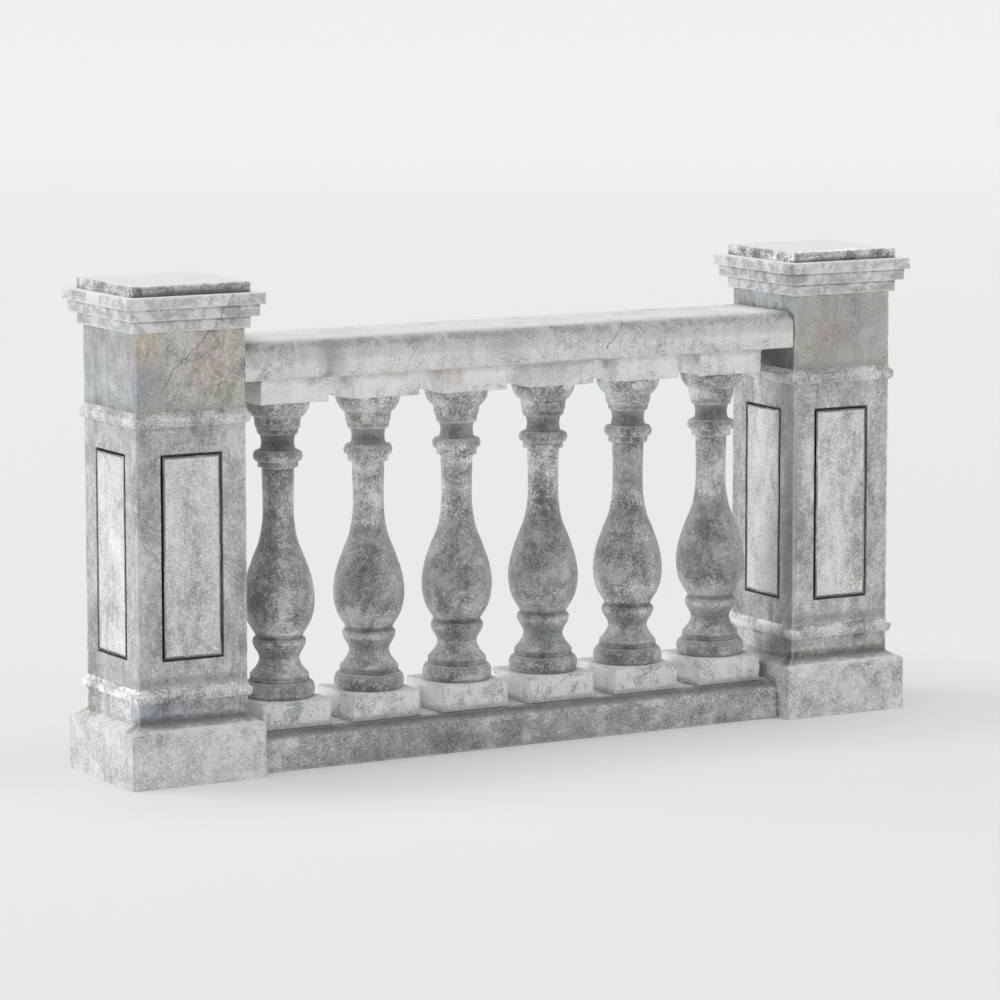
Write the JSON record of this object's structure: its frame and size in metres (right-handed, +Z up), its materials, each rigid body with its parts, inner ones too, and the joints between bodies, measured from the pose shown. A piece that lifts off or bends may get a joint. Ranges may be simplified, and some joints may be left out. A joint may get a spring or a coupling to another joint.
{
  "type": "stone balustrade bay",
  "caption": "Weathered grey stone balustrade bay: turned vase balusters between a bottom rail and a top rail, closed at both ends by panelled square piers with stepped cornices.",
  "frame": {"origin": "on the floor under the middle of the bay, midway between the piers and on the line of balusters", "axes": "+Z up; X runs along the rails from the left pier to the right one; -Y is the front"},
  "size_m": [2.0424, 0.3374, 1.1031],
  "materials": {
    "pier_stone": "weathered grey stone, cloudy mottling, dirt in the hollows",
    "panel_stone": "paler honed stone with faint veins",
    "neck_stone": "warm grey stone with brown blotches",
    "cornice_stone": "pale weathered stone, dark under each fascia",
    "plinth_stone": "light grey weathered stone",
    "rail_stone": "pale weathered stone with grey patches",
    "baluster_stone": "mid grey speckled stone, dark in the grooves"
  },
  "bodies": {
    "root": {"left_pier_plinth": "plinth_stone", "left_pier_base_course": "pier_stone", "left_pier_die": "pier_stone", "left_pier_astragal": "pier_stone", "left_pier_neck": "neck_stone", "left_pier_cornice": "cornice_stone", "left_pier_cap": "cornice_stone", "left_pier_front_panel": "panel_stone", "left_pier_right_panel": "panel_stone", "left_pier_back_panel": "panel_stone", "left_pier_left_panel": "panel_stone", "right_pier_plinth": "plinth_stone", "right_pier_base_course": "pier_stone", "right_pier_die": "pier_stone", "right_pier_astragal": "pier_stone", "right_pier_neck": "neck_stone", "right_pier_cornice": "cornice_stone", "right_pier_cap": "cornice_stone", "right_pier_front_panel": "panel_stone", "right_pier_right_panel": "panel_stone", "right_pier_back_panel": "panel_stone", "right_pier_left_panel": "panel_stone", "bottom_rail": "rail_stone", "top_rail": "rail_stone", "baluster_1": "baluster_stone", "baluster_2": "baluster_stone", "baluster_3": "baluster_stone", "baluster_4": "baluster_stone", "baluster_5": "baluster_stone", "baluster_6": "baluster_stone"}
  },
  "joints": []
}
